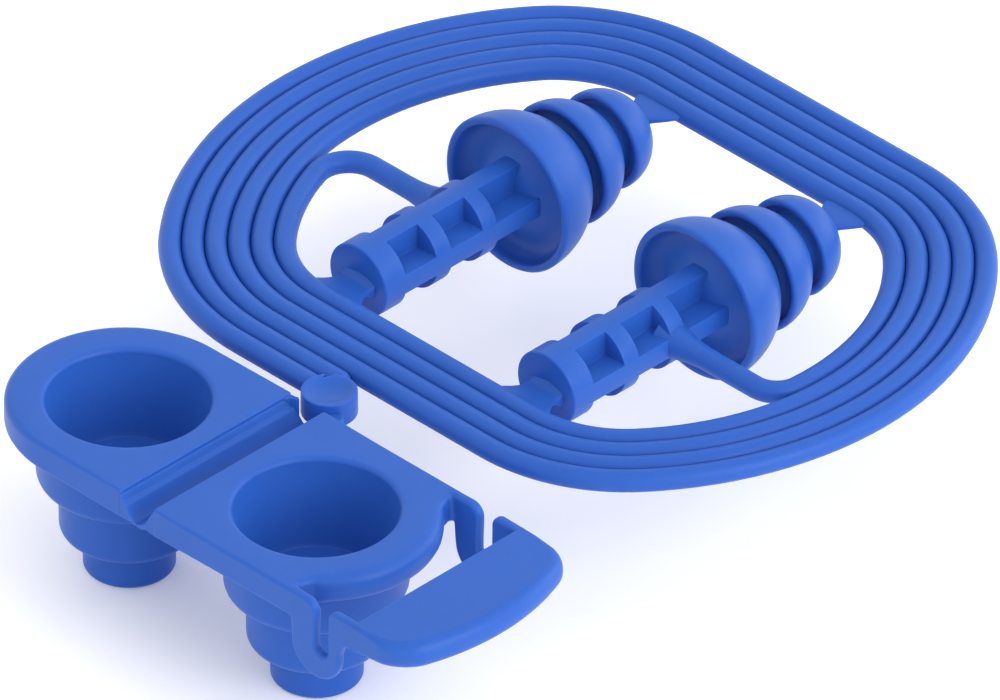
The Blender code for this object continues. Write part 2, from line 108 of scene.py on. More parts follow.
# ============================================================ material
def elastomer(name, tint=1.0, roughness=0.40, grain=1.0, mottle=1.0, shine=0.21):
    """Blue moulded elastomer: satin, a little translucent, with a fine mould texture."""
    mat = bpy.data.materials.new(name)
    mat.use_nodes = True
    tree = mat.node_tree
    nodes, links = tree.nodes, tree.links
    bsdf = nodes["Principled BSDF"]
    coords = nodes.new("ShaderNodeTexCoord")

    def noise(scale, detail, rough=0.5):
        node = nodes.new("ShaderNodeTexNoise")
        node.inputs["Scale"].default_value = scale
        node.inputs["Detail"].default_value = detail
        node.inputs["Roughness"].default_value = rough
        links.new(coords.outputs["Object"], node.inputs["Vector"])
        return node

    # Colour: slow drift in the pigment, and a faint dusting along it.
    slow = noise(90.0, 3.0)
    ramp = nodes.new("ShaderNodeValToRGB")
    base = (0.0200 * tint, 0.0960 * tint, 0.4250 * tint)
    spread = 0.035 * mottle
    ramp.color_ramp.elements[0].position = 0.30
    ramp.color_ramp.elements[0].color = tuple(c * (1 - spread) for c in base) + (1.0,)
    ramp.color_ramp.elements[1].position = 0.70
    ramp.color_ramp.elements[1].color = tuple(c * (1 + spread) for c in base) + (1.0,)
    links.new(slow.outputs["Fac"], ramp.inputs["Fac"])
    fine = noise(2600.0, 2.0)
    speck = nodes.new("ShaderNodeMapRange")
    speck.inputs["From Min"].default_value = 0.30
    speck.inputs["From Max"].default_value = 0.70
    speck.inputs["To Min"].default_value = 0.0
    speck.inputs["To Max"].default_value = 0.10 * mottle
    links.new(fine.outputs["Fac"], speck.inputs["Value"])
    mix = nodes.new("ShaderNodeMix")
    mix.data_type = "RGBA"
    mix.blend_type = "MIX"
    mix.inputs["B"].default_value = (0.029 * tint, 0.122 * tint, 0.480 * tint, 1.0)
    links.new(speck.outputs["Result"], mix.inputs["Factor"])
    links.new(ramp.outputs["Color"], mix.inputs["A"])
    links.new(mix.outputs["Result"], bsdf.inputs["Base Color"])

    # Roughness: satin, a touch glossier where the mould steel was smoother.
    sheen = noise(260.0, 4.0, 0.6)
    rough = nodes.new("ShaderNodeMapRange")
    rough.inputs["From Min"].default_value = 0.25
    rough.inputs["From Max"].default_value = 0.75
    rough.inputs["To Min"].default_value = roughness - 0.05 * mottle
    rough.inputs["To Max"].default_value = roughness + 0.06 * mottle
    links.new(sheen.outputs["Fac"], rough.inputs["Value"])
    links.new(rough.outputs["Result"], bsdf.inputs["Roughness"])

    # Bump: spark-eroded mould texture over a very slight sink waviness.
    sink = noise(420.0, 1.0)
    grit = noise(7000.0, 3.0, 0.65)
    bump_slow = nodes.new("ShaderNodeBump")
    bump_slow.inputs["Strength"].default_value = 0.10
    bump_slow.inputs["Distance"].default_value = 0.00004
    links.new(sink.outputs["Fac"], bump_slow.inputs["Height"])
    bump_fine = nodes.new("ShaderNodeBump")
    bump_fine.inputs["Strength"].default_value = 0.22 * grain
    bump_fine.inputs["Distance"].default_value = 0.000012
    links.new(grit.outputs["Fac"], bump_fine.inputs["Height"])
    links.new(bump_slow.outputs["Normal"], bump_fine.inputs["Normal"])
    links.new(bump_fine.outputs["Normal"], bsdf.inputs["Normal"])

    bsdf.inputs["Metallic"].default_value = 0.0
    bsdf.inputs["IOR"].default_value = 1.49
    bsdf.inputs["Specular IOR Level"].default_value = shine
    bsdf.inputs["Subsurface Weight"].default_value = 0.30
    bsdf.inputs["Subsurface Radius"].default_value = (0.25, 0.45, 1.0)
    bsdf.inputs["Subsurface Scale"].default_value = 0.0010
    return mat


MATS = {
    "case_elastomer": elastomer("case_elastomer_look"),
    "strap_elastomer": elastomer("strap_elastomer_look", roughness=0.40),
    "plug_elastomer": elastomer("plug_elastomer_look", roughness=0.40, grain=0.8),
    "cord_elastomer": elastomer("cord_elastomer_look", roughness=0.44, grain=0.7),
    "tab_elastomer": elastomer("tab_elastomer_look", roughness=0.46),
}


# ============================================================ mesh tools
def finish_mesh(name, bm, slot, location=None, sharp=62.0, weighted=True):
    bmesh.ops.remove_doubles(bm, verts=bm.verts, dist=1e-7)
    bmesh.ops.recalc_face_normals(bm, faces=bm.faces)
    mesh = bpy.data.meshes.new(name)
    bm.to_mesh(mesh)
    bm.free()
    mesh.shade_smooth()
    mesh.set_sharp_from_angle(angle=math.radians(sharp))
    mesh.materials.append(MATS[slot])
    obj = bpy.data.objects.new(name, mesh)
    if location is not None:
        mesh.transform(Matrix.Translation(location))
    bpy.context.scene.collection.objects.link(obj)
    if weighted:
        modifier = obj.modifiers.new("weighted", "WEIGHTED_NORMAL")
        modifier.mode = "FACE_AREA"
        modifier.weight = 60
        modifier.keep_sharp = True
    return obj


def arc(cx, cy, radius, start, end, steps):
    return [
        (
            cx + radius * math.cos(math.radians(start + (end - start) * i / steps)),
            cy + radius * math.sin(math.radians(start + (end - start) * i / steps)),
        )
        for i in range(steps + 1)
    ]


def rounded(corners, closed=False, fine=7):
    """A path of (x, y, radius) corners with each corner rounded to its radius."""
    count = len(corners)
    out = []
    for i, (x, y, r) in enumerate(corners):
        if r <= 0 or (not closed and i in (0, count - 1)):
            out.append((x, y))
            continue
        b = Vector((x, y))
        a = Vector(corners[i - 1][:2])
        c = Vector(corners[(i + 1) % count][:2])
        u, v = (a - b).normalized(), (c - b).normalized()
        turn = u.angle(v)
        if turn > math.radians(178):
            out.append((x, y))
            continue
        reach = r / math.tan(turn / 2)
        reach = min(reach, (a - b).length * 0.49, (c - b).length * 0.49)
        r = reach * math.tan(turn / 2)
        centre = b + (u + v).normalized() * (r / math.sin(turn / 2))
        p, q = b + u * reach, b + v * reach
        start = math.atan2(p.y - centre.y, p.x - centre.x)
        sweep = math.atan2(q.y - centre.y, q.x - centre.x) - start
        while sweep > math.pi:
            sweep -= 2 * math.pi
        while sweep < -math.pi:
            sweep += 2 * math.pi
        steps = max(2, round(fine * abs(sweep) / (math.pi / 2)))
        for k in range(steps + 1):
            t = start + sweep * k / steps
            out.append((centre.x + r * math.cos(t), centre.y + r * math.sin(t)))
    return out


def spin(bm, profile, segments, along_y=False, centre=(0.0, 0.0, 0.0), first_ring=None):
    """Turns a profile of (radius, height) points.  It returns the rings of vertices."""
    cx, cy, cz = centre
    rings = []
    for index, (r, h) in enumerate(profile):
        if index == 0 and first_ring is not None:
            rings.append(first_ring)
            continue
        if r < 1e-6:
            co = P(cx, cy + h, cz) if along_y else P(cx, cy, cz + h)
            rings.append([bm.verts.new(co)])
            continue
        ring = []
        for k in range(segments):
            a = 2 * math.pi * k / segments
            if along_y:
                ring.append(bm.verts.new(P(cx + r * math.cos(a), cy + h, cz + r * math.sin(a))))
            else:
                ring.append(bm.verts.new(P(cx + r * math.cos(a), cy + r * math.sin(a), cz + h)))
        rings.append(ring)
    for low, high in zip(rings, rings[1:]):
        for k in range(segments):
            n = (k + 1) % segments
            if len(low) == 1 and len(high) == 1:
                continue
            if len(low) == 1:
                bm.faces.new((low[0], high[k], high[n]))
            elif len(high) == 1:
                bm.faces.new((low[k], high[0], low[n]))
            else:
                bm.faces.new((low[k], high[k], high[n], low[n]))
    return rings


def inset(points, amounts):
    """Moves each point of a closed counter-clockwise outline inwards, by its own amount."""
    count = len(points)
    out = []
    for i, (x, y) in enumerate(points):
        a, c = Vector(points[i - 1]), Vector(points[(i + 1) % count])
        b = Vector((x, y))
        d1, d2 = (b - a).normalized(), (c - b).normalized()
        n1, n2 = Vector((-d1.y, d1.x)), Vector((-d2.y, d2.x))
        miter = (n1 + n2) / max(0.35, 1 + n1.dot(n2))
        moved = b + miter * amounts[i]
        out.append((moved.x, moved.y))
    return out


def area(points):
    return sum(a[0] * b[1] - b[0] * a[1] for a, b in zip(points, points[1:] + points[:1])) / 2


def slab(bm, outline, low, high, soft_low, soft_high, put, hole=None, fine=5):
    """A plate with rounded edges: outline in its own plane, low and high across it.
    soft_low and soft_high are fillet radii, one for all points or one each.  hole is a
    pair of vertex rings (at low, at high) that both faces run into."""
    if area(outline) < 0:
        outline = outline[::-1]
        if isinstance(soft_low, list):
            soft_low = soft_low[::-1]
        if isinstance(soft_high, list):
            soft_high = soft_high[::-1]
    count = len(outline)
    softs = [s if isinstance(s, list) else [s] * count for s in (soft_low, soft_high)]
    rings = []
    for k in range(fine + 1):
        t = math.pi / 2 * k / fine
        moved = inset(outline, [s * (1 - math.sin(t)) for s in softs[0]])
        rings.append([bm.verts.new(put(x, y, low + s * (1 - math.cos(t)))) for (x, y), s in zip(moved, softs[0])])
    for k in range(fine + 1):
        t = math.pi / 2 * k / fine
        moved = inset(outline, [s * (1 - math.cos(t)) for s in softs[1]])
        rings.append([bm.verts.new(put(x, y, high - s * (1 - math.sin(t)))) for (x, y), s in zip(moved, softs[1])])
    for a, b in zip(rings, rings[1:]):
        for i in range(count):
            n = (i + 1) % count
            bm.faces.new((a[i], a[n], b[n], b[i]))
    bm.edges.ensure_lookup_table()

    def cap(ring, hole_ring):
        edges = [bm.edges.get((ring[i], ring[(i + 1) % count])) for i in range(count)]
        if hole_ring is None:
            bm.faces.new(ring)
            return
        size = len(hole_ring)
        for i in range(size):
            pair = (hole_ring[i], hole_ring[(i + 1) % size])
            edges.append(bm.edges.get(pair) or bm.edges.new(pair))
        bmesh.ops.triangle_fill(bm, use_beauty=True, use_dissolve=False, edges=edges)

    cap(rings[0], hole[0] if hole else None)
    cap(rings[-1], hole[1] if hole else None)


def flat_put(x, y, z):
    return P(x, y, z)


# ============================================================ cords
def heading(frm, to):
    return math.degrees(math.atan2(to.y - frm.y, to.x - frm.x)) % 360


def corner_centre(side_c, side_r, y_run, sign_x, sign_y):
    cy = y_run - sign_y * CORNER_R
    dx = math.sqrt((side_r - CORNER_R) ** 2 - (cy - side_c.y) ** 2)
    return Vector((side_c.x + sign_x * dx, cy))


NEAR_LEFT_R = LEFT_R - CORD_PITCH
NEAR_RIGHT_R = RIGHT_R + CORD_PITCH
FAR_LEFT = corner_centre(LEFT_C, LEFT_R, FAR_Y, -1, 1)
FAR_RIGHT = corner_centre(RIGHT_C, RIGHT_R, FAR_Y, 1, 1)
NEAR_LEFT = corner_centre(LEFT_C, NEAR_LEFT_R, NEAR_Y, -1, -1)
NEAR_RIGHT = corner_centre(RIGHT_C, NEAR_RIGHT_R, NEAR_Y, 1, -1)
FAR_RIGHT_A, FAR_LEFT_A = heading(RIGHT_C, FAR_RIGHT), heading(LEFT_C, FAR_LEFT)
NEAR_LEFT_A, NEAR_RIGHT_A = heading(LEFT_C, NEAR_LEFT), heading(RIGHT_C, NEAR_RIGHT)
STEP = 3.0


def sweep(centre, radius, start, end):
    return arc(centre.x, centre.y, radius, start, end, max(1, math.ceil(abs(end - start) / STEP)))


def far_half(k, start=0.0):
    out = k * CORD_PITCH
    points = sweep(RIGHT_C, RIGHT_R + out, start, FAR_RIGHT_A)
    points += sweep(FAR_RIGHT, CORNER_R + out, FAR_RIGHT_A, 90)[1:]
    points += sweep(FAR_LEFT, CORNER_R + out, 90, FAR_LEFT_A)
    points += sweep(LEFT_C, LEFT_R + out, FAR_LEFT_A, 180)[1:]
    return points


def near_half(k, start=180.0, stop_x=None):
    out = k * CORD_PITCH
    points = sweep(LEFT_C, NEAR_LEFT_R + out, start, NEAR_LEFT_A)
    points += sweep(NEAR_LEFT, CORNER_R + out, NEAR_LEFT_A, 270)[1:]
    if stop_x is not None:
        x0 = points[-1][0]
        return points + [(x0 + (stop_x - x0) * i / 4, NEAR_Y - out) for i in range(1, 5)]
    points += sweep(NEAR_RIGHT, CORNER_R + out, 270, NEAR_RIGHT_A)
    points += sweep(RIGHT_C, NEAR_RIGHT_R + out, NEAR_RIGHT_A, 360)[1:]
    return points


def join(*runs):
    points = []
    for x, y in (point for run in runs for point in run):
        if not points or math.hypot(x - points[-1][0], y - points[-1][1]) > 0.02:
            points.append((x, y))
    return points


def lead(exit_x, y, bend, side_c, side_r, sign_x, sign_y):
    cy = y + sign_y * bend
    dx = math.sqrt((side_r - bend) ** 2 - (cy - side_c.y) ** 2)
    cx = side_c.x + sign_x * dx
    joins = heading(side_c, Vector((cx, cy)))
    start = 90 if sign_y < 0 else 270
    if sign_x < 0:
        points = arc(cx, cy, bend, start, joins, 24)
    else:
        points = arc(cx, cy, bend, start - 360, joins - 360 if joins > 180 else joins, 24)
    return [(exit_x + (cx - exit_x) * i / 6, y) for i in range(6)] + points, joins


lead_a, joins_a = lead(PLUG_X[0] - GRIP_R, LEAD_Y[0], LEAD_BEND[0], LEFT_C, NEAR_LEFT_R, -1, -1)
lead_b, joins_b = lead(PLUG_X[1] + GRIP_R, LEAD_Y[1], LEAD_BEND[1], RIGHT_C, RIGHT_R, 1, 1)
route_a = join(near_half(0, joins_a), far_half(1), near_half(2), far_half(3), near_half(4, stop_x=52.35))
route_b = join(
    far_half(0, joins_b - 360 if joins_b > 180 else joins_b),
    near_half(1), far_half(2), near_half(3), far_half(4), near_half(5, stop_x=51.4),
)


def length_of(points):
    return sum(math.hypot(b[0] - a[0], b[1] - a[1]) for a, b in zip(points, points[1:]))


def cord(name, points, nodes, length, round_end):
    curve = bpy.data.curves.new(name, "CURVE")
    curve.dimensions = "3D"
    curve.bevel_depth = CORD_R * MM
    curve.bevel_resolution = 7
    curve.use_fill_caps = True
    radii = [1.0] * len(points)
    if round_end:
        # The last radius of the strand is closed over as half a ball.
        end, back = Vector(points[-1]), Vector(points[-2])
        along = (end - back).normalized()
        stop = end - along * CORD_R
        while (Vector(points[-1]) - end).length < CORD_R + 0.05:
            points, radii = points[:-1], radii[:-1]
        for k in range(11):
            t = math.pi / 2 * k / 10
            points.append(tuple(stop + along * CORD_R * math.sin(t)))
            radii.append(max(0.02, math.cos(t)))
    spline = curve.splines.new("POLY")
    spline.points.add(len(points) - 1)
    for point, (x, y), r in zip(spline.points, points, radii):
        point.co = (*P(x, y), 1.0)
        point.radius = r
    spline.use_smooth = True
    obj = bpy.data.objects.new(name, curve)
    bpy.context.scene.collection.objects.link(obj)
    curve.materials.append(MATS["cord_elastomer"])
    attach(obj, "case_base")
    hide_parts(*nodes)
    return obj


def lead_tube(name, points):
    """A short cord tail from its plug, as a mesh, flared where it meets the grip."""
    bm = bmesh.new()
    sides = 32
    rings = []
    walked = 0.0
    for i, (x, y) in enumerate(points):
        if i:
            walked += math.hypot(x - points[i - 1][0], y - points[i - 1][1])
        a = Vector(points[max(0, i - 1)])
        b = Vector(points[min(len(points) - 1, i + 1)])
        t = (b - a).normalized()
        n = Vector((-t.y, t.x))
        flare = 0.85 * max(0.0, 1 - walked / 4.2) ** 2
        ring = []
        for k in range(sides):
            w = 2 * math.pi * k / sides
            r = CORD_R + flare
            ring.append(bm.verts.new(P(x + n.x * r * math.cos(w), y + n.y * r * math.cos(w), r * math.sin(w))))
        rings.append(ring)
    for low, high in zip(rings, rings[1:]):
        for k in range(sides):
            m = (k + 1) % sides
            bm.faces.new((low[k], low[m], high[m], high[k]))
    bm.faces.new(rings[0])
    bm.faces.new(rings[-1])
    obj = finish_mesh(name, bm, "cord_elastomer")
    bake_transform(obj)
    return obj


# ------------------------------------------------------------ the two cords
length_a, length_b = length_of(lead_a + route_a), length_of(lead_b + route_b)
cord_a = cord("cord_left", route_a, ["cord_a"], length_a, True)
cord_b = cord("cord_right", route_b, ["cord_b"], length_b, False)
tail_a = [(PLUG_X[0] - 1.6, LEAD_Y[0]), (PLUG_X[0] - 2.4, LEAD_Y[0])] + lead_a
tail_a += sweep(LEFT_C, NEAR_LEFT_R, joins_a, joins_a + 2.0)[1:]
tail_b = [(PLUG_X[1] + 1.6, LEAD_Y[1]), (PLUG_X[1] + 2.4, LEAD_Y[1])] + lead_b
end_b = joins_b - 360 if joins_b > 180 else joins_b
tail_b += sweep(RIGHT_C, RIGHT_R, end_b, end_b + 2.0)[1:]
piece_tail_a = lead_tube("cord_left_tail", tail_a)
piece_tail_b = lead_tube("cord_right_tail", tail_b)
print("cord lengths, tails included, mm:", round(length_a, 1), round(length_b, 1))

# ============================================================ case halves
SEGMENTS = 112
SEAT_R = 7.45


def cup_profile():
    """From the plate's top, over the rolled mouth, down inside, and back up outside."""
    (r1, z1), (r2, z2), (r3, z3) = TIERS
    inside = [(SEAT_R, TOP)] + arc(MOUTH_R + LIP, TOP - LIP, LIP, 90, 180, 8)
    for i in range(1, 30):
        t = 1 - i / 30
        inside.append((LEDGE_R + (MOUTH_R - LEDGE_R) * t**0.8, LEDGE_Z + (TOP - LIP - LEDGE_Z) * t))
    inside += rounded([
        (LEDGE_R + 0.12, LEDGE_Z + 0.22, 0), (LEDGE_R, LEDGE_Z, 0.10), (BORE_R, LEDGE_Z, 0.25),
        (BORE_R - 0.1, BORE_FLOOR, 0.6), (0.0, BORE_FLOOR, 0),
    ])[1:]
    outside = rounded([
        (0.0, z3, 0), (r3, z3, 0.40), (r3, z2, 0), (r2, z2, 1.20), (r2, z1, 0),
        (r1, z1, 0.90), (r1, BOTTOM, 0.22), (SEAT_R, BOTTOM, 0),
    ])
    return inside, outside


def case_half(name, outline, soft_top, soft_low, cup_x, body, nodes):
    bm = bmesh.new()
    inside, outside = cup_profile()
    centre = (cup_x, CUP_Y, 0.0)
    inner = spin(bm, inside, SEGMENTS, False, centre)
    outer = spin(bm, outside, SEGMENTS, False, centre)
    slab(bm, outline, BOTTOM, TOP, soft_low, soft_top, flat_put, hole=(outer[-1], inner[0]))
    obj = finish_mesh(name, bm, "case_elastomer")
    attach(obj, body)
    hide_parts(*nodes)
    return obj


def softened(points, limit_x, sign, sharp, soft, ramp=2.5):
    """Fillet radii: sharp along the straight sides, rising to soft round the end."""
    out = []
    for x, y in points:
        t = max(0.0, min(1.0, (x - limit_x) * sign / ramp))
        t = t * t * (3 - 2 * t)
        out.append(sharp + (soft - sharp) * t)
    return out


y0, y1 = CASE_Y - HALF, CASE_Y + HALF
lid_outline = rounded([(LID_EDGE, y0, 0.18), (LID_EDGE, y1, 0.18), (LID_END_X, y1, 0)], fine=4)[1:]
lid_outline = (
    rounded([(LID_END_X, y0, 0), (LID_EDGE, y0, 0.18), (LID_EDGE, y1, 0.18), (LID_END_X, y1, 0)], fine=4)
    + arc(LID_END_X, CASE_Y, HALF, 90, 270, 60)[1:-1]
)
case_half(
    "lid_half", lid_outline, [0.16 if x > LID_EDGE - 0.3 else r for (x, y), r in zip(lid_outline, softened(lid_outline, LID_END_X + 1.0, -1, 0.32, 0.60, 5.0))],
    [0.12 if x > LID_EDGE - 0.3 else r for (x, y), r in zip(lid_outline, softened(lid_outline, LID_END_X + 1.0, -1, 0.30, 0.50, 5.0))],
    LID_CUP_X, "case_lid", ["lid_plate", "lid_cup"],
)

inner = HALF - STRAP
EAR_END_X = 68.95
SLOT_X = 68.45
swing = math.degrees(math.acos((SLOT_X + 0.10 - BASE_END_X) / HALF))
base_outline = (
    rounded([(60.0, y1, 0), (BASE_EDGE, y1, 0.18), (BASE_EDGE, y0, 0.18), (60.0, y0, 0)], fine=4)
    + [(67.6, y0), (EAR_END_X, y0), (EAR_END_X, y0 + STRAP)]
    + arc(SLOT_X + 0.34, y0 + STRAP + 0.34, 0.34, 270, 180, 5)
    + arc(BASE_END_X, CASE_Y, HALF, -swing + 2.4, swing - 2.4, 56)
    + arc(SLOT_X + 0.34, y1 - STRAP - 0.34, 0.34, 180, 90, 5)
    + [(EAR_END_X, y1 - STRAP), (EAR_END_X, y1), (67.6, y1)]
)
base_soft, base_soft_low = [], []
for x, y in base_outline:
    radial = math.hypot(x - BASE_END_X, y - CASE_Y)
    side = 0.12 if x < BASE_EDGE + 0.3 else 0.30
    if abs(radial - HALF) < 0.05 and x > SLOT_X - 0.2 and abs(y - CASE_Y) < inner - 0.05:
        t = max(0.0, min(1.0, (x - SLOT_X) / 1.6))
        t = t * t * (3 - 2 * t)
        base_soft.append(0.55 + 0.40 * t)
        base_soft_low.append(0.45 + 0.50 * t)
    elif x > SLOT_X - 0.2 and abs(y - CASE_Y) < inner - 0.05:
        base_soft.append(0.50)
        base_soft_low.append(0.30)
    else:
        base_soft.append(0.17 if side < 0.2 else side)
        base_soft_low.append(side)
case_half(
    "base_half", base_outline, base_soft, base_soft_low, BASE_CUP_X, "case_base", ["base_plate", "base_cup"],
)


# ============================================================ living hinge
def upright(points, low, high, soft, name, slot, subdivide=None):
    """A profile in X and Z, drawn across Y from low to high, with softened edges."""
    bm = bmesh.new()
    slab(bm, points, low, high, soft, soft, lambda x, z, y: P(x, y, z), fine=4)
    return finish_mesh(name, bm, slot)


def web(name, points, gusset, nodes):
    bm = bmesh.new()
    if gusset:
        slab(bm, gusset, -0.9, 1.06, 0.10, 0.16, flat_put, fine=4)
    slab(bm, points, y0 + 0.02, y1 - 0.02, 0.12, 0.12, lambda x, z, y: P(x, y, z), fine=3)
    obj = finish_mesh(name, bm, "strap_elastomer")
    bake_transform(obj)
    if nodes:
        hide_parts(*nodes)
    return obj


# The channel's floor, from the lid's edge down to its low point and up to the base's
# sharp edge, with the two undercuts below.
mid_x = 52.75
channel = [
    (LID_EDGE - 0.30, 0.90), (LID_EDGE, 0.90), (LID_EDGE + 0.07, 0.82), (LID_EDGE + 0.16, 0.58),
    (LID_EDGE + 0.25, 0.35), (LID_EDGE + 0.31, 0.28), (LID_EDGE + 0.40, 0.24), (LID_EDGE + 0.50, 0.18),
    (LID_EDGE + 0.57, 0.09), (LID_EDGE + 0.63, -0.03), (LID_EDGE + 0.74, -0.24), (LID_EDGE + 0.88, -0.46),
    (LID_EDGE + 1.04, -0.66), (LID_EDGE + 1.20, -0.82), (52.56, -0.92), (mid_x, -0.95),
]
under_left = [(mid_x, -1.28), (52.45, -1.28), (52.25, -1.18), (52.05, -1.14), (51.85, -1.18), (51.65, -1.2), (LID_EDGE - 0.30, -1.2)]
left_web = channel + under_left
right_top = [(mid_x, -0.95), (53.1, -0.88), (53.5, -0.62), (53.85, -0.18), (54.12, 0.36), (54.32, 0.72), (54.50, 0.86), (BASE_EDGE + 0.30, 0.86)]
right_web = right_top + [(BASE_EDGE + 0.30, -1.2), (54.2, -1.2), (53.95, -1.12), (53.72, -1.06), (53.5, -1.14), (53.3, -1.28), (mid_x, -1.28)]
# A small gusset closes the channel's rear end, between the lid's corner and the button.
gusset = rounded([
    (LID_EDGE - 0.35, y1 - 0.25, 0), (LID_EDGE - 0.35, y1 - 0.95, 0), (LID_EDGE + 0.02, y1 - 0.90, 0),
    (LID_EDGE + 0.22, y1 - 0.40, 0.30), (51.85, y1 - 0.20, 0.12), (52.00, y1 - 0.02, 0.04),
    (51.90, y1 + 0.05, 0.04), (LID_EDGE + 0.15, y1 + 0.0, 0.10), (LID_EDGE - 0.10, y1 - 0.03, 0),
], closed=True, fine=4)
web("hinge_web_left", left_web, gusset, ["hinge_web"])
web("hinge_web_right", right_web, None, [])

# ============================================================ latch
FLAP_INNER_X, FLAP_OUTER_X = 74.75, 81.50
FLAP_CORNERS = (3.3, 2.4)
FLAP_BULGE_R = 20.0


def strap_profile():
    """The U in X and Z, from the plate's top over the arch, round the U and onto the flap."""
    top = TOP - 0.006
    points = [(67.4, top), (67.8, top), (68.2, top), (68.7, top), (69.2, top)]
    points += arc(70.02, top - 1.08, 1.08, 90, 0, 9)
    points += [(71.06, -0.8), (71.02, -1.7)]
    points += arc(71.66, -2.50, 0.64, 180, 360, 14)
    points += [(72.30, -1.6), (72.30, -0.9)]
    points += rounded([(72.30, -0.4, 0), (72.34, 1.24, 1.05), (74.1, 1.22, 0), (75.4, 1.19, 0)], fine=10)[1:]
    points += [(75.4, -1.15)]
    points += rounded([(75.4, -1.15, 0), (73.9, -1.2, 0.8), (73.42, -2.3, 1.2), (73.40, -2.9, 0)], fine=6)[1:]
    points += arc(71.00, -2.90, 2.40, 0, -180, 26)
    points += [(68.54, -2.1)]
    points += rounded([(68.50, -1.7, 0), (68.48, -1.194, 0.30), (68.1, -1.194, 0), (67.4, -1.194, 0)], fine=4)[1:]
    out = []
    for p in points:
        if not out or math.hypot(p[0] - out[-1][0], p[1] - out[-1][1]) > 0.03:
            out.append(p)
    return out


def strap_soft(points, amount):
    """Edge radii: the plate's own on the ear, and rounder on the strap."""
    out = []
    for x, z in points:
        t = max(0.0, min(1.0, (x - 68.6) / 1.2)) if z > -1.1 else 1.0 if x > 68.6 else 0.0
        if z <= -1.1 and x < 69.0:
            t = min(t, max(0.0, min(1.0, (-1.2 - z) / 0.8)))
        u = max(0.0, min(1.0, (x - 73.8) / 1.2)) if z > -1.3 else 0.0
        t = t * t * (3 - 2 * t) * (1 - 0.35 * u)
        out.append(0.30 + (amount - 0.30) * t)
    return out


for label, (a, b) in (("front", (y0 + 0.006, y0 + STRAP - 0.006)), ("rear", (y1 - STRAP + 0.006, y1 - 0.006))):
    bm = bmesh.new()
    profile = strap_profile()
    slab(
        bm, profile, a, b, strap_soft(profile, 0.26 if label == "front" else 0.34),
        strap_soft(profile, 0.34 if label == "front" else 0.26), lambda x, z, y: P(x, y, z), fine=5,
    )
    strap = finish_mesh(f"latch_strap_{label}", bm, "strap_elastomer")
    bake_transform(strap)
    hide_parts(f"strap_{label}")

bulge_c = FLAP_OUTER_X - FLAP_BULGE_R
corners = []
for r in FLAP_CORNERS:
    cy = HALF - r
    cx = bulge_c + math.sqrt((FLAP_BULGE_R - r) ** 2 - cy**2)
    corners.append((cx, cy, r, math.degrees(math.atan2(cy, cx - bulge_c))))
(fx, fy, fr, f_lean), (rx, ry, rr, r_lean) = corners
flap_outline = [(FLAP_INNER_X, y1), (FLAP_INNER_X, y0)]
flap_outline += [(FLAP_INNER_X + 0.7, y0), (FLAP_INNER_X + 1.6, y0)]
flap_outline += arc(fx, CASE_Y - fy, fr, -90, -f_lean, 18)
flap_outline += arc(bulge_c, CASE_Y, FLAP_BULGE_R, -f_lean, r_lean, 24)[1:-1]
flap_outline += arc(rx, CASE_Y + ry, rr, r_lean, 90, 18)
flap_outline += [(FLAP_INNER_X + 1.6, y1), (FLAP_INNER_X + 0.7, y1)]
flap_soft = softened(flap_outline, FLAP_INNER_X + 0.9, 1, 0.30, 1.0, 4.5)
flap_soft = [0.24 if x < FLAP_INNER_X + 0.01 else r for (x, y), r in zip(flap_outline, flap_soft)]
bm = bmesh.new()
slab(bm, flap_outline, BOTTOM + 0.20, TOP, [s * 0.95 for s in flap_soft], flap_soft, flat_put, fine=7)
flap = finish_mesh("latch_flap_moulded", bm, "case_elastomer")
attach(flap, "latch")
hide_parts("latch_flap")


# ============================================================ plugs
def ellipse(rim_r, rim_y, height, r_from, r_to, steps):
    """Points on a dome from one radius to another: (radius, height along the plug)."""
    a0 = math.acos(max(-1.0, min(1.0, r_from / rim_r)))
    a1 = math.acos(max(-1.0, min(1.0, r_to / rim_r)))
    return [
        (rim_r * math.cos(a0 + (a1 - a0) * i / steps), rim_y + height * math.sin(a0 + (a1 - a0) * i / steps))
        for i in range(steps + 1)
    ]


def rim(rim_r, rim_y, wall, steps=8):
    """The rounded edge of a flange, from its outer face round to its inner face."""
    r = wall / 2
    return [
        (rim_r - r + r * math.cos(math.pi * i / steps), rim_y - 0.8 * r * math.sin(math.pi * i / steps))
        for i in range(1, steps)
    ]


